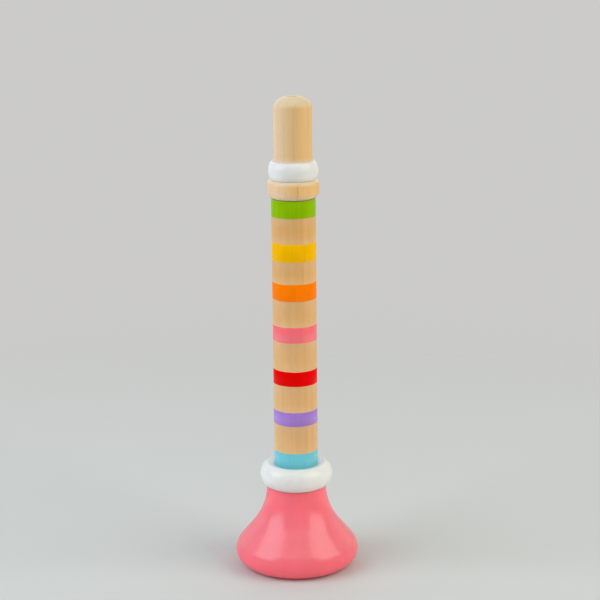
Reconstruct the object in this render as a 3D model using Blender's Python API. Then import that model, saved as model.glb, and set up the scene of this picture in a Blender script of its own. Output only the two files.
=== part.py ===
"""Wooden toy trumpet, standing on the mouth of its bell.

Metres, with +Z along the trumpet's axis and the origin at the centre of the bell's flat foot.
The outside is six turned beech pieces on one axis, glued with a small gap at each seat.
A beating reed inside the mouthpiece sounds the note: a shallot stands in a flanged holder,
and a ring holds a brass tongue over the shallot's open channel.
"""

import math

import bmesh
import bpy

MM = 0.001

# Heights along the axis, from the foot up.
BELL_HEIGHT = 30.5 * MM
BELL_RING_HEIGHT = 8.6 * MM
TUBE_SHOWN = 99.1 * MM
COLLAR_HEIGHT = 7.0 * MM
UPPER_RING_HEIGHT = 6.6 * MM
MOUTHPIECE_SHOWN = 22.8 * MM

# Fits: every seat keeps the glue gap along the axis and the glue clearance round it.
SEAT_GAP = 0.25 * MM
GLUE_CLEARANCE = 0.15 * MM

# Tube and the paint on it.
TUBE_DIAMETER = 16.0 * MM
TUBE_BORE = 11.0 * MM
TUBE_CHAMFER = 0.4 * MM
BAND_HEIGHT = 5.8 * MM

# Bell: its flat foot, the rounded rim, the flank up to the neck, and the hollow.
BELL_DIAMETER = 45.5 * MM
RIM_HEIGHT = 5.5 * MM
RIM_UNDERCUT = 5.9 * MM
SHOULDER_RADIUS = 6.7 * MM
FLANK_STRAIGHT = 7.3 * MM
NECK_WALL = 3.0 * MM
FOOT_WIDTH = 2.0 * MM
MOUTH_LIP = 1.2 * MM
SOCKET_DEPTH = 14.0 * MM
SOCKET_CHAMFER = 0.4 * MM
THROAT_LENGTH = 1.5 * MM

# Rings.
BELL_RING_OVERHANG = 2.32 * MM
BELL_RING_BULGE = 2.95 * MM
BELL_RING_CROWN = 4.65 * MM
BELL_RING_EASE = 1.2 * MM
COLLAR_OVERHANG = 1.38 * MM
COLLAR_LOWER_ROUND = 2.6 * MM
COLLAR_UPPER_ROUND = 1.8 * MM
UPPER_RING_OVERHANG = 2.05 * MM
UPPER_RING_LOWER_INSET = 1.2 * MM
UPPER_RING_UPPER_INSET = 1.8 * MM

# Mouthpiece.
MOUTHPIECE_DIAMETER = 13.86 * MM
DOME_HEIGHT = 4.4 * MM
BLOW_HOLE = 4.0 * MM
BLOW_LIP = 0.8 * MM
FLARE_SPREAD = 0.57 * MM
FLARE_HEIGHT = 2.2 * MM
FLARE_EDGE = 0.1 * MM
TENON_DEPTH = 12.0 * MM
TENON_CHAMFER = 0.4 * MM
CHAMBER_HEADROOM = 2.0 * MM
DRILL_POINT = 59.0

# Reed unit.
HOLDER_FLANGE = 1.2 * MM
HOLDER_FLANGE_GAP = 0.3 * MM
HOLDER_PLUG = 6.0 * MM
HOLDER_SEAT = 2.0 * MM
SHALLOT_DIAMETER = 4.6 * MM
SHALLOT_BORE = 3.2 * MM
SHALLOT_LENGTH = 24.0 * MM
SHALLOT_TIP = 1.2 * MM
SHALLOT_FLAT = 0.7 * MM
LAY_ANGLE = 3.0
TONGUE_THICKNESS = 0.3 * MM
TONGUE_GAP = 0.2 * MM
TONGUE_SIDE_GAP = 0.24 * MM
TONGUE_TIP_ROUND = 1.2 * MM
TONGUE_SETBACK = 0.6 * MM
CLAMP_HEIGHT = 3.0 * MM
CLAMP_WALL = 0.75 * MM
CLAMP_MARGIN = 0.4 * MM

# Fineness of the round shapes.
TURNED_SEGMENTS = 48
REED_SEGMENTS = 32

# Places that follow from the sizes above.
NECK_TOP = BELL_HEIGHT
BELL_RING_TOP = NECK_TOP + BELL_RING_HEIGHT
TUBE_TOP = BELL_RING_TOP + TUBE_SHOWN
COLLAR_TOP = TUBE_TOP + COLLAR_HEIGHT
UPPER_RING_TOP = COLLAR_TOP + UPPER_RING_HEIGHT
MOUTH_TOP = UPPER_RING_TOP + MOUTHPIECE_SHOWN
SOCKET_FLOOR = NECK_TOP - SOCKET_DEPTH
TENON_END = TUBE_TOP - TENON_DEPTH

TUBE_R = TUBE_DIAMETER / 2
BORE_R = TUBE_BORE / 2
SLEEVE_R = TUBE_R + GLUE_CLEARANCE
TENON_R = BORE_R - GLUE_CLEARANCE
MOUTH_R = MOUTHPIECE_DIAMETER / 2
NECK_R = TUBE_R + NECK_WALL
SHALLOT_R = SHALLOT_DIAMETER / 2
SHALLOT_SLEEVE_R = SHALLOT_R + GLUE_CLEARANCE
CLAMP_R = SHALLOT_SLEEVE_R + CLAMP_WALL
CHAMBER_R = CLAMP_R + CLAMP_MARGIN

FLANGE_TOP = TENON_END - SEAT_GAP
FLANGE_BOTTOM = FLANGE_TOP - HOLDER_FLANGE
PLUG_TOP = FLANGE_TOP + HOLDER_PLUG
SHALLOT_SEAT = FLANGE_BOTTOM + HOLDER_SEAT
SHALLOT_BOTTOM = SHALLOT_SEAT + SEAT_GAP
SHALLOT_TOP = SHALLOT_BOTTOM + SHALLOT_LENGTH
CHAMBER_TOP = SHALLOT_TOP + CHAMBER_HEADROOM
CLAMP_BOTTOM = PLUG_TOP + SEAT_GAP
CLAMP_TOP = CLAMP_BOTTOM + CLAMP_HEIGHT
TONGUE_ROOT = CLAMP_BOTTOM + TONGUE_GAP
TONGUE_TIP = SHALLOT_TOP - TONGUE_SETBACK
HINGE_Y = -(SHALLOT_FLAT + TONGUE_GAP + TONGUE_THICKNESS / 2)
HINGE_Z = (CLAMP_BOTTOM + CLAMP_TOP) / 2

# Colours, linear RGB. The bands run from the bell up.
BEECH = (0.60, 0.36, 0.15)
WHITE_PAINT = (0.74, 0.72, 0.67)
BELL_PINK = (0.90, 0.17, 0.20)
REED_IVORY = (0.80, 0.76, 0.66)
REED_BRASS = (0.78, 0.56, 0.22)
BAND_COLOURS = {
    "band_light_blue": (0.12, 0.47, 0.55),
    "band_violet": (0.31, 0.16, 0.54),
    "band_red": (0.64, 0.01, 0.01),
    "band_pink": (0.84, 0.14, 0.17),
    "band_orange": (0.91, 0.17, 0.01),
    "band_yellow": (0.80, 0.42, 0.01),
    "band_green": (0.19, 0.37, 0.01),
}


def material(name, colour, roughness, metallic=0.0):
    """A plain Principled material."""
    made = bpy.data.materials.new(name)
    made.use_nodes = True
    shader = made.node_tree.nodes["Principled BSDF"]
    shader.inputs["Base Color"].default_value = (*colour, 1.0)
    shader.inputs["Roughness"].default_value = roughness
    shader.inputs["Metallic"].default_value = metallic
    return made


def arc(centre, radii, start, end, steps):
    """Points (r, z) of an ellipse's arc between two angles in degrees, ends included."""
    points = []
    for i in range(steps + 1):
        angle = math.radians(start + (end - start) * i / steps)
        r = centre[0] + radii[0] * math.cos(angle)
        z = centre[1] + radii[1] * math.sin(angle)
        points.append((r, z))
    return points


def s_curve(low, high, steps):
    """Points of a smooth curve between two (r, z) places, running along the axis at both ends."""
    points = []
    for i in range(1, steps + 1):
        t = i / steps
        blend = t * t * (3 - 2 * t)
        points.append((low[0] + (high[0] - low[0]) * blend, low[1] + (high[1] - low[1]) * t))
    return points


def add_object(name, bm, look):
    """Turns a finished bmesh into a smooth shaded object of the scene."""
    bmesh.ops.recalc_face_normals(bm, faces=bm.faces)
    mesh = bpy.data.meshes.new(name)
    bm.to_mesh(mesh)
    bm.free()
    mesh.shade_smooth()
    mesh.set_sharp_from_angle(angle=math.radians(40))
    made = bpy.data.objects.new(name, mesh)
    made.data.materials.append(look)
    bpy.context.scene.collection.objects.link(made)
    return made


def turned(name, outline, look, segments=TURNED_SEGMENTS):
    """Spins a closed outline of (r, z) points round the axis."""
    bm = bmesh.new()
    ring = [bm.verts.new((r, 0.0, z)) for r, z in outline]
    pairs = zip(ring, ring[1:] + ring[:1])
    edges = [bm.edges.new((a, b)) for a, b in pairs if a.co.x + b.co.x > 0]
    bmesh.ops.spin(
        bm,
        geom=ring + edges,
        cent=(0.0, 0.0, 0.0),
        axis=(0.0, 0.0, 1.0),
        angle=math.tau,
        steps=segments,
        use_merge=True,
    )
    bmesh.ops.remove_doubles(bm, verts=bm.verts, dist=0.001 * MM)
    return add_object(name, bm, look)


def plate(bm, points, thickness):
    """Adds a flat polygon pushed out by the given vector."""
    face = bm.faces.new([bm.verts.new(point) for point in points])
    pushed = bmesh.ops.extrude_face_region(bm, geom=[face])["geom"]
    moved = [item for item in pushed if isinstance(item, bmesh.types.BMVert)]
    bmesh.ops.translate(bm, verts=moved, vec=thickness)


def build_bell(look):
    """Flared bell: foot, rounded rim, flank and neck outside; lip, hollow, throat and socket inside."""
    rim_r = BELL_DIAMETER / 2
    foot_r = rim_r - RIM_UNDERCUT
    rise = NECK_TOP - RIM_HEIGHT
    spread = rim_r - NECK_R
    both = (spread**2 + rise**2 - FLANK_STRAIGHT**2) / (2 * spread)
    neck_radius = both - SHOULDER_RADIUS
    turn = math.degrees(math.atan2(rise, both - spread) - math.atan2(FLANK_STRAIGHT, both))
    hollow_r = foot_r - FOOT_WIDTH - MOUTH_LIP
    throat_low = SOCKET_FLOOR - THROAT_LENGTH
    outline = arc((NECK_R + neck_radius, NECK_TOP), (neck_radius, neck_radius), 180, 180 + turn, 7)
    outline += arc((rim_r - SHOULDER_RADIUS, RIM_HEIGHT), (SHOULDER_RADIUS, SHOULDER_RADIUS), turn, 0, 6)
    outline += arc((foot_r, RIM_HEIGHT), (RIM_UNDERCUT, RIM_HEIGHT), 0, -90, 7)[1:]
    outline += arc((foot_r - FOOT_WIDTH, MOUTH_LIP), (MOUTH_LIP, MOUTH_LIP), 270, 180, 3)
    outline += s_curve((hollow_r, MOUTH_LIP), (BORE_R, throat_low), 9)
    outline += [
        (BORE_R, SOCKET_FLOOR),
        (SLEEVE_R, SOCKET_FLOOR),
        (SLEEVE_R, NECK_TOP - SOCKET_CHAMFER),
        (SLEEVE_R + SOCKET_CHAMFER, NECK_TOP),
    ]
    return turned("bell", outline, look)


def build_bell_ring(look):
    """White bead over the tube, seated on the bell's neck."""
    low = NECK_TOP + SEAT_GAP
    outer_r = NECK_R + BELL_RING_OVERHANG
    middle = (outer_r - BELL_RING_BULGE, low + BELL_RING_CROWN)
    ease = (SLEEVE_R + BELL_RING_EASE, BELL_RING_TOP - BELL_RING_EASE)
    outline = arc(middle, (BELL_RING_BULGE, BELL_RING_TOP - middle[1]), 90, 0, 6)
    outline += arc(middle, (BELL_RING_BULGE, BELL_RING_CROWN), 0, -90, 6)[1:]
    outline += [(SLEEVE_R, low)]
    outline += arc(ease, (BELL_RING_EASE, BELL_RING_EASE), 180, 90, 4)
    return turned("bell_ring", outline, look)


def build_tube(look):
    """Bored dowel between the bell's socket and the collar, with a paint band as each extra material."""
    low = SOCKET_FLOOR + SEAT_GAP
    pitch = (TUBE_SHOWN - BAND_HEIGHT) / (len(BAND_COLOURS) - 1)
    lows = [BELL_RING_TOP + i * pitch for i in range(len(BAND_COLOURS))]
    edges = [edge for start in lows for edge in (start, start + BAND_HEIGHT)]
    outline = [(TUBE_R, edge) for edge in reversed(edges)]
    outline += [
        (TUBE_R, low + TUBE_CHAMFER),
        (TUBE_R - TUBE_CHAMFER, low),
        (BORE_R, low),
        (BORE_R, TUBE_TOP - TUBE_CHAMFER),
        (BORE_R + TUBE_CHAMFER, TUBE_TOP),
    ]
    tube = turned("tube", outline, look)
    for name, colour in BAND_COLOURS.items():
        tube.data.materials.append(material(name, colour, 0.35))
    for face in tube.data.polygons:
        if math.hypot(face.center.x, face.center.y) < (TUBE_R + BORE_R) / 2:
            continue
        for i, start in enumerate(lows):
            if start < face.center.z < start + BAND_HEIGHT:
                face.material_index = i + 1
    return tube


def build_collar_ring(look):
    """Unpainted ring on the mouthpiece's tenon, seated on the tube's end."""
    low = TUBE_TOP + SEAT_GAP
    outer_r = TUBE_R + COLLAR_OVERHANG
    wall = outer_r - BORE_R
    upper_round = min(COLLAR_UPPER_ROUND, wall)
    lower_round = min(COLLAR_LOWER_ROUND, wall)
    upper = (outer_r - upper_round, COLLAR_TOP - upper_round)
    lower = (outer_r - lower_round, low + lower_round)
    outline = [(BORE_R, COLLAR_TOP)]
    outline += arc(upper, (upper_round, upper_round), 90, 0, 5)
    outline += arc(lower, (lower_round, lower_round), 0, -90, 6)
    outline += [(BORE_R, low)]
    return turned("collar_ring", outline, look)


def build_upper_ring(look):
    """White bead between the collar and the mouthpiece."""
    low = COLLAR_TOP + SEAT_GAP
    outer_r = MOUTH_R + UPPER_RING_OVERHANG
    half = (UPPER_RING_TOP - low) / 2
    upper = (outer_r - UPPER_RING_UPPER_INSET, low + half)
    lower = (outer_r - UPPER_RING_LOWER_INSET, low + half)
    outline = [(BORE_R, UPPER_RING_TOP)]
    outline += arc(upper, (UPPER_RING_UPPER_INSET, half), 90, 0, 6)
    outline += arc(lower, (UPPER_RING_LOWER_INSET, half), 0, -90, 6)[1:]
    outline += [(BORE_R, low)]
    return turned("upper_ring", outline, look)


def build_mouthpiece(look):
    """Domed mouthpiece with its tenon, drilled for the breath from above and for the reed from below."""
    low = UPPER_RING_TOP + SEAT_GAP
    blow_r = BLOW_HOLE / 2
    lip_r = blow_r + BLOW_LIP
    dome_middle = MOUTH_TOP - DOME_HEIGHT * math.sqrt(1 - (lip_r / MOUTH_R) ** 2)
    dome_start = math.degrees(math.acos(lip_r / MOUTH_R))
    flare = (MOUTH_R + FLARE_SPREAD, low + FLARE_EDGE + FLARE_HEIGHT)
    point = (CHAMBER_R - blow_r) / math.tan(math.radians(DRILL_POINT))
    outline = arc((0.0, dome_middle), (MOUTH_R, DOME_HEIGHT), dome_start, 0, 7)
    outline += arc(flare, (FLARE_SPREAD, FLARE_HEIGHT), 180, 270, 4)
    outline += [
        (MOUTH_R + FLARE_SPREAD, low),
        (TENON_R, low),
        (TENON_R, TENON_END + TENON_CHAMFER),
        (TENON_R - TENON_CHAMFER, TENON_END),
        (CHAMBER_R, TENON_END),
        (CHAMBER_R, CHAMBER_TOP),
        (blow_r, CHAMBER_TOP + point),
    ]
    outline += arc((lip_r, MOUTH_TOP - BLOW_LIP), (BLOW_LIP, BLOW_LIP), 180, 90, 4)[:-1]
    return turned("mouthpiece", outline, look)


def build_reed_holder(look):
    """Flanged plug in the chamber's open end, bored for the shallot."""
    plug_r = CHAMBER_R - GLUE_CLEARANCE
    flange_r = BORE_R - HOLDER_FLANGE_GAP
    outline = [
        (plug_r, PLUG_TOP),
        (plug_r, FLANGE_TOP),
        (flange_r, FLANGE_TOP),
        (flange_r, FLANGE_BOTTOM),
        (SHALLOT_BORE / 2, FLANGE_BOTTOM),
        (SHALLOT_BORE / 2, SHALLOT_SEAT),
        (SHALLOT_SLEEVE_R, SHALLOT_SEAT),
        (SHALLOT_SLEEVE_R, PLUG_TOP),
    ]
    return turned("reed_holder", outline, look, REED_SEGMENTS)


def build_shallot(look):
    """Round tail below, sloping flat lay above, and a channel open to the lay and closed at the tip."""
    bore_r = SHALLOT_BORE / 2
    outline = [
        (0.0, SHALLOT_TOP),
        (SHALLOT_R, SHALLOT_TOP),
        (SHALLOT_R, SHALLOT_BOTTOM),
        (bore_r, SHALLOT_BOTTOM),
        (bore_r, SHALLOT_TOP - SHALLOT_TIP),
        (0.0, SHALLOT_TOP - SHALLOT_TIP),
    ]
    shallot = turned("shallot", outline, look, REED_SEGMENTS)
    top = SHALLOT_TOP + SHALLOT_TIP
    side = SHALLOT_DIAMETER
    fall = (top - CLAMP_TOP) * math.tan(math.radians(LAY_ANGLE))
    lay = [
        (-side, -SHALLOT_DIAMETER, PLUG_TOP),
        (-side, -SHALLOT_FLAT, PLUG_TOP),
        (-side, -SHALLOT_FLAT, CLAMP_TOP),
        (-side, -SHALLOT_FLAT + fall, top),
        (-side, -SHALLOT_DIAMETER, top),
    ]
    bm = bmesh.new()
    plate(bm, lay, (2 * side, 0.0, 0.0))
    cutter = add_object("lay_cutter", bm, look)
    cutter.hide_render = True
    cutter.display_type = "WIRE"
    cut = shallot.modifiers.new("lay", "BOOLEAN")
    cut.operation = "DIFFERENCE"
    cut.solver = "EXACT"
    cut.object = cutter
    return shallot


def build_clamp_ring(look):
    """Ring round the shallot, with a flat in its hole that bears on the tongue's root."""
    flat_y = -(SHALLOT_FLAT + 2 * TONGUE_GAP + TONGUE_THICKNESS)
    bm = bmesh.new()
    loops = []
    for radius, flat, z in (
        (CLAMP_R, -CLAMP_R, CLAMP_BOTTOM),
        (CLAMP_R, -CLAMP_R, CLAMP_TOP),
        (SHALLOT_SLEEVE_R, flat_y, CLAMP_TOP),
        (SHALLOT_SLEEVE_R, flat_y, CLAMP_BOTTOM),
    ):
        loop = []
        for i in range(REED_SEGMENTS):
            angle = math.tau * i / REED_SEGMENTS
            y = max(radius * math.sin(angle), flat)
            loop.append(bm.verts.new((radius * math.cos(angle), y, z)))
        loops.append(loop)
    for first, second in zip(loops, loops[1:] + loops[:1]):
        for i in range(REED_SEGMENTS):
            bm.faces.new((first[i - 1], first[i], second[i], second[i - 1]))
    return add_object("clamp_ring", bm, look)


def build_reed_tongue(look):
    """Thin tongue with a rounded tip. Its origin is on the hinge line inside the clamp."""
    outer_face = SHALLOT_FLAT + TONGUE_GAP + TONGUE_THICKNESS
    half = math.sqrt(SHALLOT_SLEEVE_R**2 - outer_face**2) - TONGUE_SIDE_GAP
    tip = TONGUE_TIP - HINGE_Z
    root = TONGUE_ROOT - HINGE_Z
    corner = half - TONGUE_TIP_ROUND
    rounded = arc((corner, tip - TONGUE_TIP_ROUND), (TONGUE_TIP_ROUND, TONGUE_TIP_ROUND), 0, 90, 4)
    side = [(half, root)] + rounded
    outline = side + [(-x, z) for x, z in reversed(side)]
    bm = bmesh.new()
    plate(bm, [(x, -TONGUE_THICKNESS / 2, z) for x, z in outline], (0.0, TONGUE_THICKNESS, 0.0))
    tongue = add_object("reed_tongue", bm, look)
    tongue.location = (0.0, HINGE_Y, HINGE_Z)
    return tongue


def main():
    for old in list(bpy.data.objects):
        bpy.data.objects.remove(old)
    build_bell(material("bell_pink_paint", BELL_PINK, 0.3))
    build_bell_ring(material("bell_ring_white_paint", WHITE_PAINT, 0.3))
    build_tube(material("tube_beech", BEECH, 0.5))
    build_collar_ring(material("collar_beech", BEECH, 0.5))
    build_upper_ring(material("upper_ring_white_paint", WHITE_PAINT, 0.3))
    build_mouthpiece(material("mouthpiece_beech", BEECH, 0.5))
    build_reed_holder(material("holder_plastic", REED_IVORY, 0.4))
    build_shallot(material("shallot_plastic", REED_IVORY, 0.4))
    build_clamp_ring(material("clamp_plastic", REED_IVORY, 0.4))
    build_reed_tongue(material("tongue_brass", REED_BRASS, 0.25, 1.0))


main()
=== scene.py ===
"""Looks of the wooden toy trumpet: finely turned pieces, beech, paint, light and camera.

Metres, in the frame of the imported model: +Z along the trumpet's axis, and the foot of the bell on z = 0.
The camera stands on the -Y side, so left in the picture is -X.
"""

import math

import bmesh
import bpy
from mathutils import Euler, Matrix, Vector


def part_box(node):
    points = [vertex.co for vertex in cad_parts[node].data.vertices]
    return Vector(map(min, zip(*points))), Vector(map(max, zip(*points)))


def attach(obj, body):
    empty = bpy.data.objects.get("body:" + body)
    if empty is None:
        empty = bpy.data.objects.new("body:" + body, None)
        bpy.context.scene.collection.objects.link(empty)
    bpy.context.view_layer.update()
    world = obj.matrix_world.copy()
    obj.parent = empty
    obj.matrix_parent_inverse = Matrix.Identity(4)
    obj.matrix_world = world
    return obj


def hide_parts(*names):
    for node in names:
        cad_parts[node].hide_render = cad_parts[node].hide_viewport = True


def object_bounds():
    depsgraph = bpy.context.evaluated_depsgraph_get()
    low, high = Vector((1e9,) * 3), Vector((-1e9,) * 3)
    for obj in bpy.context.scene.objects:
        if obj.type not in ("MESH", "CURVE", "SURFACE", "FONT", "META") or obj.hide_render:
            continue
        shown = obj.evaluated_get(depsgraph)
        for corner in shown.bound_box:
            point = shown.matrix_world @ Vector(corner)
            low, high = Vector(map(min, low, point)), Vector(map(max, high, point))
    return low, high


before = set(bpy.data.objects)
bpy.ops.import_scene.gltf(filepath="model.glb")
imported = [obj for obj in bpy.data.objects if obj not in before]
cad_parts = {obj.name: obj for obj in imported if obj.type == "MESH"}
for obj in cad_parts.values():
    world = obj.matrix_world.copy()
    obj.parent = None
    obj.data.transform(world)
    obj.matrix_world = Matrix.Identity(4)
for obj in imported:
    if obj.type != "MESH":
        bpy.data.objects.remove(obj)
cad_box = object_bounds()

MM = 0.001

# Fineness of the turned pieces: segments round the axis, degrees of arc for each step of an outline, steps
# of the bell's hollow, and the angle from which an edge stays sharp.
SEGMENTS = 160
ARC_STEP = 4.0
HOLLOW_STEPS = 24
SMOOTH_ANGLE = 40.0

# Glued seats close up to this hair line.
SEAM = 0.02 * MM

# Shapes that the boxes of the nodes don't give: the bell.
RIM_HEIGHT = 5.5 * MM
RIM_UNDERCUT = 5.9 * MM
SHOULDER_RADIUS = 6.7 * MM
FLANK_STRAIGHT = 7.3 * MM
NECK_WALL = 3.0 * MM
FOOT_WIDTH = 2.0 * MM
MOUTH_LIP = 1.2 * MM
SOCKET_CHAMFER = 0.4 * MM
THROAT_LENGTH = 1.5 * MM

# The tube, its bore and the paint film of its bands. The edges of the bands wander in waves, given as
# number round the tube, share of the height, and shift from one edge to the next.
BORE_R = 5.5 * MM
TUBE_CHAMFER = 0.4 * MM
FILM = 0.03 * MM
FILM_EDGE = 0.06 * MM
BRUSH_WANDER = 0.07 * MM
BRUSH_WAVES = ((1, 1.0, 2.4), (2, 0.6, 4.08), (5, 0.35, 6.96), (11, 0.2, 9.84))

# The rings. The lower round of the upper ring stops at the seam's turn, in degrees, and goes straight down
# from there, because glue and paint fill its groove.
BELL_RING_BULGE = 2.95 * MM
BELL_RING_CROWN = 4.65 * MM
BELL_RING_DIP = 0.45 * MM
COLLAR_LOWER_ROUND = 2.6 * MM
COLLAR_UPPER_ROUND = 1.8 * MM
UPPER_RING_LOWER_INSET = 1.2 * MM
UPPER_RING_UPPER_INSET = 1.8 * MM
SEAM_TURN = 65.0

# The mouthpiece. The drill point is the angle between a drill's edge and its axis.
DOME_HEIGHT = 4.4 * MM
BLOW_HOLE_R = 2.0 * MM
BLOW_LIP = 0.8 * MM
FLARE_SPREAD = 0.57 * MM
FLARE_HEIGHT = 2.2 * MM
FLARE_EDGE = 0.1 * MM
TENON_CHAMFER = 0.4 * MM
CHAMBER_R = 3.6 * MM
CHAMBER_TOP = 153.0 * MM
DRILL_POINT = 59.0

# Bands from the mouthpiece down: name, top and bottom edge, colour in linear RGB, shine of the paint.
BANDS = (
    ("green", 138.2 * MM, 131.91 * MM, (0.25, 0.45, 0.001), 0.02),
    ("yellow", 122.57 * MM, 116.13 * MM, (0.882, 0.43, 0.001), 0.02),
    ("orange", 107.94 * MM, 101.79 * MM, (0.98, 0.191, 0.001), 0.02),
    ("pink", 92.12 * MM, 86.32 * MM, (0.91, 0.122, 0.146), 0.66),
    ("red", 75.60 * MM, 70.07 * MM, (0.775, 0.001, 0.001), 0.02),
    ("violet", 60.19 * MM, 54.99 * MM, (0.332, 0.149, 0.532), 0.62),
    ("light_blue", 44.38 * MM, 37.0 * MM, (0.129, 0.50, 0.58), 0.5),
)

# Colours, linear RGB.
TUBE_WOOD = (0.702, 0.361, 0.124)
TUBE_HEEL = (0.706, 0.383, 0.159)
COLLAR_WOOD = (0.777, 0.444, 0.174)
MOUTH_WOOD = (0.733, 0.441, 0.198)
BORE_WOOD = (0.60, 0.38, 0.17)
END_GRAIN = (0.712, 0.524, 0.346)
# Painted sheen: the paler, cooler colour of the -X side, where the left light falls.
PAINTED_SHEEN_WOOD = (0.765, 0.555, 0.385)
WHITE = (0.74, 0.688, 0.658)
PINK = (0.846, 0.14, 0.169)
# Painted shade: the bell's pink on upright faces and below, redder than on the faces that look up and catch
# the light.
PINK_PAINTED_SHADE = (0.925, 0.127, 0.164)
IVORY = (0.80, 0.76, 0.66)
BRASS = (0.78, 0.56, 0.22)
TARNISHED = (0.55, 0.36, 0.16)
EVEN = (1.0, 1.0, 1.0)

# A noise goes from one tone to the other within a span of its values. This is the usual one.
NOISE_SPAN = (0.3, 0.7)

# Beech: the marks have sizes across and along the grain, and darken the wood to a tint by a share.
STREAKS = (2.4 * MM, 70 * MM)
STREAK_SPAN = (0.28, 0.72)
STREAK_TONES = (0.955, 1.045)
FIBRES = (0.22 * MM, 9 * MM)
FIBRE_SPAN = (0.30, 0.62)
FIBRE_SHARE = 0.24
FIBRE_TINT = (0.92, 0.88, 0.82)
FLECKS = (0.9 * MM, 5.0 * MM)
FLECK_SPAN = (0.07, 0.20)
FLECK_SHARE = 0.32
FLECK_TINT = (0.70, 0.58, 0.46)
GRAIN_DEPTH = 0.005 * MM
BEECH_ROUGHNESS = (0.40, 0.30)
BEECH_SHINE = 0.1
POLISHED_SHINE = 0.3

# Growth rings: how far they are shifted, how much they are drawn out along the axis, how wide they are and
# how much they waver. A wave texture of scale 1 has rings of the wave width.
GROWTH_SHIFT = (34 * MM, -46 * MM)
GROWTH_STRETCH = 16.0
GROWTH_WIDTH = 2.6 * MM
GROWTH_WAVER = 2.2
GROWTH_SPAN = (0.70, 1.0)
GROWTH_SHARE = 0.25
GROWTH_TINT = (0.86, 0.80, 0.72)
WAVE_WIDTH = 0.314

# Where the wood changes: end grain by how far a face looks up or down, a painted sheen by x that makes the
# -X side paler where the cooler left light falls, and the tube's heel by height. The collar and the
# mouthpiece have a share of that sheen.
END_GRAIN_SPAN = (0.0, 0.8)
PAINTED_SHEEN_SPAN = (-7 * MM, 2 * MM)
COLLAR_PAINTED_SHEEN = 0.6
MOUTH_PAINTED_SHEEN = 0.7
HEEL_SPAN = (45 * MM, 138 * MM)

# The dark line on the collar's front: its x, the size of its bends, how far it drifts to both sides, its
# half width where it is darkest and where it ends, and how it fades on faces that look up.
VEIN_X = 1.6 * MM
VEIN_BENDS = (30 * MM, 3.2 * MM)
VEIN_BEND_SPAN = (0.2, 0.8)
VEIN_DRIFT = 0.45 * MM
VEIN_WIDTH = (0.08 * MM, 0.45 * MM)
VEIN_SHARE = 0.7
VEIN_FADE = (-0.1, 0.6)
VEIN_TINT = (0.80, 0.71, 0.60)

# Paint: an uneven coat, painted shade by how far a face looks up, the grain under it and the orange peel of
# its skin.
COAT = (7 * MM, 9 * MM)
COAT_SPAN = (0.32, 0.68)
COAT_TONES = (0.97, 1.03)
COAT_ROUGHNESS = (0.21, 0.26)
PAINTED_SHADE_SPAN = (0.1, 0.6)
UNDER_GRAIN = (0.5 * MM, 22 * MM)
UNDER_GRAIN_DEPTH = 0.05 * MM
PEEL = (0.55 * MM, 0.7 * MM)
PEEL_DEPTH = 0.005 * MM
BELL_GRAIN = 0.012
BELL_SHINE = 0.37
BAND_GRAIN = 0.04
WHITE_GRAIN = 0.008
WHITE_SHINE = 0.3

# Plastic and brass of the reed unit.
FLOW = (1.5 * MM, 4 * MM)
FLOW_TONES = (0.94, 1.03)
MOULD = (0.12 * MM, 0.12 * MM)
MOULD_DEPTH = 0.004 * MM
PLASTIC_ROUGHNESS = (0.32, 0.46)
ROLL_LINES = (0.05 * MM, 6 * MM)
ROLL_DEPTH = 0.002 * MM
TARNISH = (1.2 * MM, 2.5 * MM)
TARNISH_SPAN = (0.35, 0.7)
BRASS_ROUGHNESS = (0.29, 0.42)

# Camera: where it stands, how it is turned, and its lens on a 36 mm frame.
CAMERA_BACK = 603.105 * MM
CAMERA_HEIGHT = 244.215 * MM
CAMERA_PITCH = 13.391
CAMERA_YAW = 0.191
CAMERA_ROLL = -0.569
CAMERA_LENS = 102.525
CAMERA_SENSOR = 36.0

# The two sides of the studio: word, direction along X and tint. Light from the left is a little cooler.
SIDES = (("left", -1, (0.855, 1.02, 1.12)), ("right", 1, (0.98, 1.06, 0.96)))

# Softboxes: name, azimuth from the camera on the left and on the right, distance, height, width, tallness,
# and radiance on the left and on the right.
SOFTBOXES = (
    ("key", (70.0, 67.5), 0.736, 0.56, 0.71, 0.70, (3.80, 3.38)),
    ("front", (18.0, 18.0), 0.50, 0.85, 0.42, 0.40, (0.62, 0.58)),
    ("rim", (125.0, 125.0), 0.80, 0.378, 0.50, 0.60, (0.6, 0.45)),
    ("back", (160.0, 160.0), 0.70, 0.45, 0.50, 0.50, (0.8, 0.8)),
)

# White cards that lie on the floor and throw light up: name, azimuth, distance, and radiance on the left
# and on the right. All have the same height and size.
CARDS = (
    ("side_card", 84.0, 0.26, (0.58, 0.46)),
    ("front_card", 28.0, 0.26, (0.14, 0.14)),
)
CARD_HEIGHT = 0.004
CARD_SIZE = (0.34, 0.30)

# The floor, the backdrop that it fades into between two distances, and the even light from all round.
PALE = (0.60, 0.596, 0.583)
FLOOR_COLOUR = (0.558, 0.53, 0.515)
FLOOR_BOUNCE = (0.78, 0.76, 0.75)
FLOOR_TONES = (0.99, 1.01)
FLOOR_MOTTLE = (30 * MM, 30 * MM)
FLOOR_ROUGHNESS = 0.7
FLOOR_RADIUS = 2.0
FLOOR_SEGMENTS = 96
FLOOR_FADE = (0.08, 0.45)
AMBIENT = 0.28


def span_of(node):
    """Largest radius, lowest and highest z of a CAD node."""
    low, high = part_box(node)
    return high.x, low.z, high.z


def add(tree, kind, inputs=None, **settings):
    """Adds a node, sets its properties, and sets or links its inputs by name or place."""
    node = tree.nodes.new(kind)
    for key, value in settings.items():
        setattr(node, key, value)
    for key, value in (inputs or {}).items():
        if isinstance(value, bpy.types.NodeSocket):
            tree.links.new(value, node.inputs[key])
        else:
            node.inputs[key].default_value = value
    return node


def maths(tree, operation, *values, clamp=False):
    """Value socket of an operation on one or two values."""
    inputs = dict(enumerate(values))
    return add(tree, "ShaderNodeMath", inputs, operation=operation, use_clamp=clamp).outputs["Value"]


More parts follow.
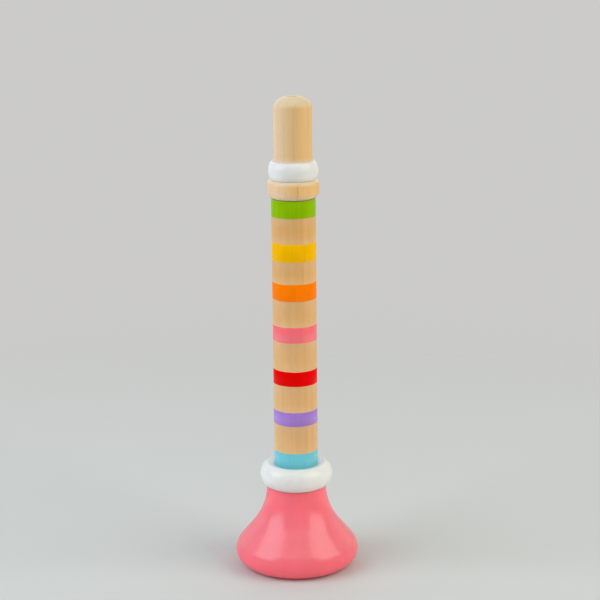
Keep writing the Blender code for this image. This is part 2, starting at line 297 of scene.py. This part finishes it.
def mix(tree, share, first, second, blend="MIX"):
    """Colour socket of two colours mixed by a share. A colour mix has them at inputs 0, 6 and 7."""
    colours = {0: share, 6: first, 7: second}
    return add(tree, "ShaderNodeMix", colours, data_type="RGBA", blend_type=blend).outputs[2]


def ease(tree, value, low, high, start, end):
    """Value socket that goes from low to high as another goes from start to end, level at both ends."""
    places = {"Value": value, "From Min": start, "From Max": end, "To Min": low, "To Max": high}
    return add(tree, "ShaderNodeMapRange", places, interpolation_type="SMOOTHSTEP").outputs["Result"]


def object_place(tree):
    """Vector socket of the place on an object, in metres."""
    return add(tree, "ShaderNodeTexCoord").outputs["Object"]


def upward(tree):
    """Value socket that is 1 on faces that look up, 0 on upright ones and -1 on faces that look down."""
    facing = add(tree, "ShaderNodeNewGeometry").outputs["Normal"]
    return add(tree, "ShaderNodeSeparateXYZ", {0: facing}).outputs["Z"]


def stretched(tree, across, along, shift):
    """Object coordinates scaled so that one unit is that wide across the axis and that long along it."""
    scale = (1 / across, 1 / across, 1 / along)
    moved = {"Vector": object_place(tree), "Location": shift, "Scale": scale}
    return add(tree, "ShaderNodeMapping", moved).outputs["Vector"]


def noise(tree, across, along, shift, detail=2.0):
    """Noise with cells of that size, as a value socket."""
    place = stretched(tree, across, along, shift)
    return add(tree, "ShaderNodeTexNoise", {"Vector": place, "Scale": 1.0, "Detail": detail}).outputs["Fac"]


def bump(tree, height, depth, under=None):
    """Normal socket of a relief that deep, on top of another one."""
    inputs = {"Height": height, "Distance": depth, "Strength": 1.0}
    if under is not None:
        inputs["Normal"] = under
    return add(tree, "ShaderNodeBump", inputs).outputs["Normal"]


def shade(colour, share=1.0):
    """A colour made darker or lighter by a share, as RGBA."""
    return (*(share * c for c in colour), 1.0)


def tinted(tree, share, colour, tint):
    """Colour socket of a colour that a tint darkens by a share."""
    return mix(tree, share, colour, shade(tint), "MULTIPLY")


def new_look(name):
    """An empty Principled material, as material, tree and shader."""
    look = bpy.data.materials.new(name)
    look.use_nodes = True
    tree = look.node_tree
    return look, tree, tree.nodes["Principled BSDF"]


def link_surface(tree, shader, colour, roughness, relief):
    """Links the three sockets that vary over a surface to its shader."""
    tree.links.new(colour, shader.inputs["Base Color"])
    tree.links.new(roughness, shader.inputs["Roughness"])
    tree.links.new(relief, shader.inputs["Normal"])


def growth_lines(tree, shift):
    """Share of the dark line that ends each growth ring. The rings lie round a pith beside the piece."""
    x, y = GROWTH_SHIFT
    pith = stretched(tree, 1.0, GROWTH_STRETCH, (x + shift[0] * MM, y, 0.0))
    rings = {"Vector": pith, "Scale": WAVE_WIDTH / GROWTH_WIDTH, "Distortion": GROWTH_WAVER, "Detail": 2.0}
    kind = {"wave_type": "RINGS", "rings_direction": "Z", "wave_profile": "SAW"}
    growth = add(tree, "ShaderNodeTexWave", rings, **kind).outputs["Fac"]
    return ease(tree, growth, 0, GROWTH_SHARE, *GROWTH_SPAN)


def short_flecks(tree, shift):
    """Share of the short dark flecks of beech, one in each cell."""
    cells = {"Vector": stretched(tree, *FLECKS, shift), "Scale": 1.0}
    away = add(tree, "ShaderNodeTexVoronoi", cells).outputs["Distance"]
    return ease(tree, away, FLECK_SHARE, 0, *FLECK_SPAN)


def vein_line(tree, shift, vein, across):
    """Share of one dark line up the axis that bends about an x, and fades where the faces look up."""
    bends = noise(tree, *VEIN_BENDS, shift)
    drift = ease(tree, bends, vein - VEIN_DRIFT, vein + VEIN_DRIFT, *VEIN_BEND_SPAN)
    off = maths(tree, "ABSOLUTE", maths(tree, "SUBTRACT", across, drift))
    strength = ease(tree, upward(tree), VEIN_SHARE, 0.0, *VEIN_FADE)
    return maths(tree, "MULTIPLY", ease(tree, off, 1, 0, *VEIN_WIDTH), strength)


def beech(name, colour, shift, shine=BEECH_SHINE, painted_sheen=0.0, vein=None, heel=None):
    """Solid beech under a thin lacquer: streaks, growth lines, fine fibres and short flecks up the axis.

    End grain is paler. The painted sheen is the share by which the -X side, where the cooler left light
    falls, is painted paler; vein is the x of a dark line, and heel is the colour that the wood has low
    down.
    """
    look, tree, shader = new_look(name)
    across, _, along = add(tree, "ShaderNodeSeparateXYZ", {0: object_place(tree)}).outputs
    endwise = maths(tree, "ABSOLUTE", upward(tree))
    streaks = noise(tree, *STREAKS, shift)
    fibres = noise(tree, *FIBRES, shift, detail=3.0)
    flecks = short_flecks(tree, shift)
    height = ease(tree, along, 0, 1, *HEEL_SPAN)
    low = heel or colour
    dark, pale = (mix(tree, height, shade(low, tone), shade(colour, tone)) for tone in STREAK_TONES)
    wood = mix(tree, ease(tree, streaks, 0, 1, *STREAK_SPAN), dark, pale)
    wood = mix(tree, ease(tree, endwise, 0, 1, *END_GRAIN_SPAN), wood, shade(END_GRAIN))
    # Painted sheen: the -X side is painted paler, as the cooler left light would make it.
    if painted_sheen:
        wood = mix(tree, ease(tree, across, painted_sheen, 0, *PAINTED_SHEEN_SPAN), wood, shade(PAINTED_SHEEN_WOOD))
    wood = tinted(tree, growth_lines(tree, shift), wood, GROWTH_TINT)
    wood = tinted(tree, ease(tree, fibres, FIBRE_SHARE, 0, *FIBRE_SPAN), wood, FIBRE_TINT)
    wood = tinted(tree, flecks, wood, FLECK_TINT)
    if vein is not None:
        wood = tinted(tree, vein_line(tree, shift, vein, across), wood, VEIN_TINT)
    roughness = ease(tree, fibres, *BEECH_ROUGHNESS, *NOISE_SPAN)
    relief = bump(tree, flecks, -GRAIN_DEPTH, bump(tree, fibres, GRAIN_DEPTH))
    link_surface(tree, shader, wood, roughness, relief)
    shader.inputs["Specular IOR Level"].default_value = shine
    return look


def paint(name, colour, shift, through, shine, deep=None):
    """Satin paint on wood: uneven coat, a fine orange peel, and grain that shows through it by a share.

    Deep is a painted shading: the colour of upright faces and of faces that look down, while faces that
    look up keep the first colour.
    """
    look, tree, shader = new_look(name)
    # Painted shade: thin is how far a face looks up, and it shifts the colour from deep to the given one.
    thin = ease(tree, upward(tree), 0, 1, *PAINTED_SHADE_SPAN)
    coat = noise(tree, *COAT, shift)
    grain = noise(tree, *UNDER_GRAIN, shift, detail=3.0)
    peel = noise(tree, *PEEL, shift)
    shaded_tone = deep or colour
    dark, pale = (mix(tree, thin, shade(shaded_tone, tone), shade(colour, tone)) for tone in COAT_TONES)
    coloured = mix(tree, ease(tree, coat, 0, 1, *COAT_SPAN), dark, pale)
    darker = shade(EVEN, 1.0 - through)
    paler = shade(EVEN, 1.0 + through / 2)
    telling = mix(tree, ease(tree, grain, 0, 1, *COAT_SPAN), darker, paler)
    coloured = mix(tree, 1.0, coloured, telling, "MULTIPLY")
    roughness = ease(tree, coat, *COAT_ROUGHNESS, *COAT_SPAN)
    relief = bump(tree, peel, PEEL_DEPTH, bump(tree, grain, through * UNDER_GRAIN_DEPTH))
    link_surface(tree, shader, coloured, roughness, relief)
    shader.inputs["Specular IOR Level"].default_value = shine
    return look


def plastic(name, colour):
    """Moulded plastic with a faint flow mottle and a fine mould texture."""
    look, tree, shader = new_look(name)
    flow = noise(tree, *FLOW, (3.0, 1.0, 2.0))
    skin = noise(tree, *MOULD, (1.0, 5.0, 2.0))
    dark, pale = (shade(colour, tone) for tone in FLOW_TONES)
    mottled = mix(tree, ease(tree, flow, 0, 1, *NOISE_SPAN), dark, pale)
    roughness = ease(tree, skin, *PLASTIC_ROUGHNESS, *NOISE_SPAN)
    link_surface(tree, shader, mottled, roughness, bump(tree, skin, MOULD_DEPTH))
    return look


def brass(name, colour):
    """Rolled brass strip: fine lines along its length and a little tarnish."""
    look, tree, shader = new_look(name)
    lines = noise(tree, *ROLL_LINES, (2.0, 4.0, 1.0), detail=3.0)
    tarnish = noise(tree, *TARNISH, (5.0, 2.0, 3.0))
    metal = mix(tree, ease(tree, tarnish, 0, 1, *TARNISH_SPAN), shade(colour), shade(TARNISHED))
    roughness = ease(tree, lines, *BRASS_ROUGHNESS, *NOISE_SPAN)
    link_surface(tree, shader, metal, roughness, bump(tree, lines, ROLL_DEPTH))
    shader.inputs["Metallic"].default_value = 1.0
    return look


def arc(centre, radii, start, end):
    """Points (r, z) of an ellipse's arc between two angles in degrees, ends included."""
    steps = max(2, math.ceil(abs(end - start) / ARC_STEP))
    points = []
    for i in range(steps + 1):
        angle = math.radians(start + (end - start) * i / steps)
        points.append((centre[0] + radii[0] * math.cos(angle), centre[1] + radii[1] * math.sin(angle)))
    return points


def s_curve(low, high, steps):
    """Points of a smooth curve from one (r, z) place, left out, to another, along the axis at both ends."""
    points = []
    for i in range(1, steps + 1):
        t = i / steps
        blend = t * t * (3 - 2 * t)
        points.append((low[0] + (high[0] - low[0]) * blend, low[1] + (high[1] - low[1]) * t))
    return points


def turned(name, node, outline, looks, look_of=None, wander=None):
    """Turns a closed outline of (r, z) points into a piece that stands for a CAD node of the trumpet body.

    look_of(r, z) gives the place of a face's material, and wander(i, angle) lifts point i at an angle.
    """
    bm = bmesh.new()
    loops = []
    for k in range(SEGMENTS):
        angle = math.tau * k / SEGMENTS
        loop = []
        for i, (r, z) in enumerate(outline):
            lift = wander(i, angle) if wander else 0.0
            loop.append(bm.verts.new((r * math.cos(angle), r * math.sin(angle), z + lift)))
        loops.append(loop)
    for first, second in zip(loops, loops[1:] + loops[:1]):
        for i in range(len(outline)):
            bm.faces.new((first[i - 1], first[i], second[i], second[i - 1]))
    bmesh.ops.recalc_face_normals(bm, faces=bm.faces)
    mesh = bpy.data.meshes.new(name)
    bm.to_mesh(mesh)
    bm.free()
    for look in looks:
        mesh.materials.append(look)
    if look_of:
        for face in mesh.polygons:
            face.material_index = look_of(math.hypot(face.center.x, face.center.y), face.center.z)
    mesh.shade_smooth()
    mesh.set_sharp_from_angle(angle=math.radians(SMOOTH_ANGLE))
    piece = bpy.data.objects.new(name, mesh)
    bpy.context.scene.collection.objects.link(piece)
    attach(piece, "trumpet")
    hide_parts(node)
    return piece


def make_bell():
    """Pink bell: rounded foot, flared flank and neck outside; lip, hollow, bare throat and socket inside.

    The shoulder's arc and the neck's arc have radii that leave a straight flank of its length between them.
    """
    rim_r, foot, neck_top = span_of("bell")
    tube_r, tube_low, _ = span_of("tube")
    neck_r = tube_r + NECK_WALL
    foot_r = rim_r - RIM_UNDERCUT
    rise = neck_top - RIM_HEIGHT
    spread = rim_r - neck_r
    both_radii = (spread**2 + rise**2 - FLANK_STRAIGHT**2) / (2 * spread)
    neck_radius = both_radii - SHOULDER_RADIUS
    turn = math.degrees(math.atan2(rise, both_radii - spread) - math.atan2(FLANK_STRAIGHT, both_radii))
    hollow_r = foot_r - FOOT_WIDTH - MOUTH_LIP
    sleeve_r = tube_r + SEAM
    floor = tube_low - SEAM
    throat_low = floor - THROAT_LENGTH
    outline = arc((neck_r + neck_radius, neck_top), (neck_radius, neck_radius), 180, 180 + turn)
    outline += arc((rim_r - SHOULDER_RADIUS, RIM_HEIGHT), (SHOULDER_RADIUS, SHOULDER_RADIUS), turn, 0)
    outline += arc((foot_r, RIM_HEIGHT), (RIM_UNDERCUT, RIM_HEIGHT - foot), 0, -90)[1:]
    outline += arc((foot_r - FOOT_WIDTH, MOUTH_LIP), (MOUTH_LIP, MOUTH_LIP), 270, 180)
    outline += s_curve((hollow_r, MOUTH_LIP), (BORE_R, throat_low), HOLLOW_STEPS)
    outline += [
        (BORE_R, floor),
        (sleeve_r, floor),
        (sleeve_r, neck_top - SOCKET_CHAMFER),
        (sleeve_r + SOCKET_CHAMFER, neck_top),
    ]
    # The bell's pink carries painted shade by how far its faces look up.
    pink = paint("pink_paint", PINK, (1.0, 2.0, 3.0), BELL_GRAIN, BELL_SHINE, PINK_PAINTED_SHADE)
    looks = [pink, beech("bell_beech", BORE_WOOD, (2.0, 7.0, 1.0))]

    def look_of(r, z):
        bare = r < sleeve_r + SOCKET_CHAMFER and z > throat_low
        return 1 if bare else 0

    return turned("painted_bell", "bell", outline, looks, look_of)


def make_bell_ring(white):
    """White bead over the tube, seated on the bell's neck, with a top that dips to the tube."""
    outer_r, _, top = span_of("bell_ring")
    tube_r = span_of("tube")[0]
    low = span_of("bell")[2] + SEAM
    hole_r = tube_r + FILM + SEAM
    middle = (outer_r - BELL_RING_BULGE, low + BELL_RING_CROWN)
    width = middle[0] - hole_r
    dip_radius = (width**2 + BELL_RING_DIP**2) / (2 * BELL_RING_DIP)
    reach = math.degrees(math.asin(width / dip_radius))
    outline = arc(middle, (BELL_RING_BULGE, top - middle[1]), 90, 0)
    outline += arc(middle, (BELL_RING_BULGE, BELL_RING_CROWN), 0, -90)[1:]
    outline += [(hole_r, low)]
    outline += arc((middle[0], top - dip_radius), (dip_radius, dip_radius), 90 + reach, 90)[:-1]
    return turned("white_bell_ring", "bell_ring", outline, [white])


def make_tube():
    """Beech tube with the seven bands as a thin film of paint whose edges wander a little.

    The green band's paint runs up to the end of the tube, so that band has no upper edge.
    """
    tube_r, low, top = span_of("tube")
    outline = [(tube_r, top)]
    edges = {}
    for number, (_, band_top, band_low, *_) in enumerate(BANDS):
        film = (
            (tube_r, band_top + FILM_EDGE),
            (tube_r + FILM, band_top),
            (tube_r + FILM, band_low),
            (tube_r, band_low - FILM_EDGE),
        )
        for place, (r, z) in enumerate(film):
            if z < top:
                edges[len(outline)] = 2 * number + place // 2
                outline.append((r, z))
    outline += [
        (tube_r, low + TUBE_CHAMFER),
        (tube_r - TUBE_CHAMFER, low),
        (BORE_R, low),
        (BORE_R, top - TUBE_CHAMFER),
        (BORE_R + TUBE_CHAMFER, top),
    ]

    def wander(i, angle):
        if i not in edges:
            return 0.0
        return BRUSH_WANDER * sum(
            share * math.sin(times * angle + shift * edges[i]) for times, share, shift in BRUSH_WAVES
        )

    def look_of(r, z):
        if r < tube_r - TUBE_CHAMFER:
            return 0
        for number, (_, band_top, band_low, *_) in enumerate(BANDS):
            if band_low < z < band_top:
                return number + 1
        return 0

    looks = [beech("tube_beech", TUBE_WOOD, (4.0, 1.0, 2.0), shine=POLISHED_SHINE, heel=TUBE_HEEL)]
    for number, (name, _, _, colour, shine) in enumerate(BANDS):
        looks.append(paint("band_" + name, colour, (float(number), 3.0, 5.0), BAND_GRAIN, shine))
    return turned("banded_tube", "tube", outline, looks, look_of, wander)


def make_collar_ring():
    """Bare beech ring with rounded edges, seated on the tube's end."""
    outer_r, _, top = span_of("collar_ring")
    low = span_of("tube")[2] + SEAM
    upper = (outer_r - COLLAR_UPPER_ROUND, top - COLLAR_UPPER_ROUND)
    lower = (outer_r - COLLAR_LOWER_ROUND, low + COLLAR_LOWER_ROUND)
    outline = [(BORE_R, top)]
    outline += arc(upper, (COLLAR_UPPER_ROUND, COLLAR_UPPER_ROUND), 90, 0)
    outline += arc(lower, (COLLAR_LOWER_ROUND, COLLAR_LOWER_ROUND), 0, -90)
    outline += [(BORE_R, low)]
    look = beech("collar_beech", COLLAR_WOOD, (7.0, 2.0, 4.0), POLISHED_SHINE, COLLAR_PAINTED_SHEEN, VEIN_X)
    return turned("beech_collar_ring", "collar_ring", outline, [look])


def make_upper_ring(white):
    """White bead between the collar and the mouthpiece."""
    outer_r, _, top = span_of("upper_ring")
    low = span_of("collar_ring")[2] + SEAM
    half = (top - low) / 2
    upper = (outer_r - UPPER_RING_UPPER_INSET, low + half)
    lower = (outer_r - UPPER_RING_LOWER_INSET, low + half)
    outline = [(BORE_R, top)]
    outline += arc(upper, (UPPER_RING_UPPER_INSET, half), 90, 0)
    outline += arc(lower, (UPPER_RING_LOWER_INSET, half), 0, -SEAM_TURN)[1:]
    outline += [(outline[-1][0], low), (BORE_R, low)]
    return turned("white_upper_ring", "upper_ring", outline, [white])


def make_mouthpiece(white):
    """Domed beech mouthpiece: blow hole, flared foot touched by the ring's paint, tenon and chamber."""
    flare_r, tenon_end, top = span_of("mouthpiece")
    low = span_of("upper_ring")[2] + SEAM
    mouth_r = flare_r - FLARE_SPREAD
    tenon_r = BORE_R - SEAM
    lip_r = BLOW_HOLE_R + BLOW_LIP
    dome_middle = top - DOME_HEIGHT * math.sqrt(1 - (lip_r / mouth_r) ** 2)
    dome_start = math.degrees(math.acos(lip_r / mouth_r))
    flare = (flare_r, low + FLARE_EDGE + FLARE_HEIGHT)
    point = (CHAMBER_R - BLOW_HOLE_R) / math.tan(math.radians(DRILL_POINT))
    outline = arc((0.0, dome_middle), (mouth_r, DOME_HEIGHT), dome_start, 0)
    outline += arc(flare, (FLARE_SPREAD, FLARE_HEIGHT), 180, 270)
    outline += [
        (flare_r, low),
        (tenon_r, low),
        (tenon_r, tenon_end + TENON_CHAMFER),
        (tenon_r - TENON_CHAMFER, tenon_end),
        (CHAMBER_R, tenon_end),
        (CHAMBER_R, CHAMBER_TOP),
        (BLOW_HOLE_R, CHAMBER_TOP + point),
    ]
    outline += arc((lip_r, top - BLOW_LIP), (BLOW_LIP, BLOW_LIP), 180, 90)[:-1]
    looks = [beech("mouthpiece_beech", MOUTH_WOOD, (3.0, 5.0, 6.0), painted_sheen=MOUTH_PAINTED_SHEEN), white]

    def look_of(r, z):
        return 1 if r > BORE_R and z < low + FLARE_EDGE else 0

    return turned("beech_mouthpiece", "mouthpiece", outline, looks, look_of)


def make_reed_unit():
    """The reed's plastic and brass pieces keep their CAD shape and get their finish."""
    ivory = plastic("ivory_plastic", IVORY)
    strip = brass("rolled_brass", BRASS)
    finishes = {"reed_holder": ivory, "shallot": ivory, "clamp_ring": ivory, "reed_tongue": strip}
    for node, look in finishes.items():
        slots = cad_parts[node].data.materials
        slots.clear()
        slots.append(look)


def seen_rays(tree):
    """Value socket that is 1 where the camera, a mirror or a glass looks, and 0 for gathered light."""
    path = add(tree, "ShaderNodeLightPath").outputs
    seen = maths(tree, "ADD", path["Is Camera Ray"], path["Is Glossy Ray"])
    return maths(tree, "ADD", seen, path["Is Transmission Ray"], clamp=True)


def see_through(tree, solid, share):
    """Shader socket of a surface that gives way to what is behind it by a share."""
    clear = add(tree, "ShaderNodeBsdfTransparent").outputs["BSDF"]
    return add(tree, "ShaderNodeMixShader", {0: share, 1: solid, 2: clear}).outputs["Shader"]


def pale_floor(foot_r, rim_r):
    """Floor material that fades into the backdrop, is clear from below and darker where it is seen.

    Between the foot and the rim, the light that a surface gathers passes it, so that the bell's underside
    isn't black when it is seen from below.
    """
    look, tree, shader = new_look("pale_floor")
    mottle = noise(tree, *FLOOR_MOTTLE, (1.0, 1.0, 1.0))
    dark, pale = (shade(FLOOR_COLOUR, tone) for tone in FLOOR_TONES)
    seen = seen_rays(tree)
    colour = mix(tree, seen, shade(FLOOR_BOUNCE), mix(tree, mottle, dark, pale))
    tree.links.new(colour, shader.inputs["Base Color"])
    shader.inputs["Roughness"].default_value = FLOOR_ROUGHNESS
    away = add(tree, "ShaderNodeVectorMath", {0: object_place(tree)}, operation="LENGTH").outputs["Value"]
    fade = ease(tree, away, 0.0, 1.0, *FLOOR_FADE)
    below = add(tree, "ShaderNodeNewGeometry").outputs["Backfacing"]
    beside = ease(tree, away, 1.0, 0.0, foot_r, rim_r)
    passed = maths(tree, "SUBTRACT", beside, seen)
    share = maths(tree, "MAXIMUM", maths(tree, "MAXIMUM", fade, below), passed)
    surface = tree.nodes["Material Output"].inputs["Surface"]
    tree.links.new(see_through(tree, shader.outputs["BSDF"], share), surface)
    return look


def make_floor():
    """Pale round floor, open under the bell."""
    rim_r = span_of("bell")[0]
    foot_r = rim_r - RIM_UNDERCUT
    bm = bmesh.new()
    for radius in (foot_r, FLOOR_RADIUS):
        bmesh.ops.create_circle(bm, segments=FLOOR_SEGMENTS, radius=radius)
    bmesh.ops.bridge_loops(bm, edges=bm.edges)
    mesh = bpy.data.meshes.new("floor")
    bm.to_mesh(mesh)
    bm.free()
    mesh.materials.append(pale_floor(foot_r, rim_r))
    floor = bpy.data.objects.new("floor", mesh)
    floor.location.z = -SEAM
    bpy.context.scene.collection.objects.link(floor)


def make_world():
    """Even ambient light, with the pale backdrop where the camera, a mirror or a glass looks."""
    world = bpy.data.worlds.new("studio")
    bpy.context.scene.world = world
    world.use_nodes = True
    tree = world.node_tree
    light = tree.nodes["Background"]
    light.inputs["Color"].default_value = shade(EVEN)
    light.inputs["Strength"].default_value = AMBIENT
    backdrop = add(tree, "ShaderNodeBackground", {"Color": shade(PALE), "Strength": 1.0})
    sources = {0: seen_rays(tree), 1: light.outputs["Background"], 2: backdrop.outputs["Background"]}
    shown = add(tree, "ShaderNodeMixShader", sources).outputs["Shader"]
    tree.links.new(shown, tree.nodes["World Output"].inputs["Surface"])


def studio_place(side, azimuth, away, height):
    """Place at an azimuth from the camera, to the left for side -1 and to the right for side 1."""
    angle = side * math.radians(azimuth)
    return Vector((away * math.sin(angle), -away * math.cos(angle), height))


def make_softbox(name, place, aim, width, tallness, radiance, tint):
    """Area light of an even radiance that looks at a point."""
    data = bpy.data.lights.new(name, "AREA")
    data.shape = "RECTANGLE"
    data.color = tint
    data.size = width
    data.size_y = tallness
    data.energy = radiance * math.pi * width * tallness
    lamp = bpy.data.objects.new(name, data)
    lamp.location = place
    lamp.rotation_euler = (aim - place).to_track_quat("-Z", "Y").to_euler()
    lamp.visible_camera = False
    bpy.context.scene.collection.objects.link(lamp)


def make_lights():
    """Softboxes that look at the trumpet's middle, and floor cards that look up, on both sides."""
    middle = Vector((0.0, 0.0, cad_box[1].z / 2))
    up = Vector((0.0, 0.0, 1.0))
    for number, (word, side, tint) in enumerate(SIDES):
        for kind, azimuths, away, height, width, tallness, radiances in SOFTBOXES:
            place = studio_place(side, azimuths[number], away, height)
            make_softbox(f"{kind}_{word}", place, middle, width, tallness, radiances[number], tint)
        for kind, azimuth, away, radiances in CARDS:
            place = studio_place(side, azimuth, away, CARD_HEIGHT)
            make_softbox(f"{kind}_{word}", place, place + up, *CARD_SIZE, radiances[number], tint)


def make_camera():
    """Camera at the height, distance and tilt of the photograph."""
    data = bpy.data.cameras.new("camera")
    data.sensor_fit = "HORIZONTAL"
    data.sensor_width = CAMERA_SENSOR
    data.lens = CAMERA_LENS
    camera = bpy.data.objects.new("camera", data)
    turn = Euler((math.radians(90.0 - CAMERA_PITCH), 0.0, -math.radians(CAMERA_YAW))).to_matrix()
    turn = turn @ Matrix.Rotation(math.radians(CAMERA_ROLL), 3, "Z")
    camera.matrix_world = Matrix.Translation((0.0, -CAMERA_BACK, CAMERA_HEIGHT)) @ turn.to_4x4()
    bpy.context.scene.collection.objects.link(camera)
    bpy.context.scene.camera = camera


def main():
    """Makes the scene."""
    bpy.context.scene.view_settings.view_transform = "Standard"
    make_camera()
    make_world()
    make_lights()
    make_floor()
    white = paint("white_paint", WHITE, (6.0, 4.0, 2.0), WHITE_GRAIN, WHITE_SHINE)
    make_bell()
    make_bell_ring(white)
    make_tube()
    make_collar_ring()
    make_upper_ring(white)
    make_mouthpiece(white)
    make_reed_unit()


main()
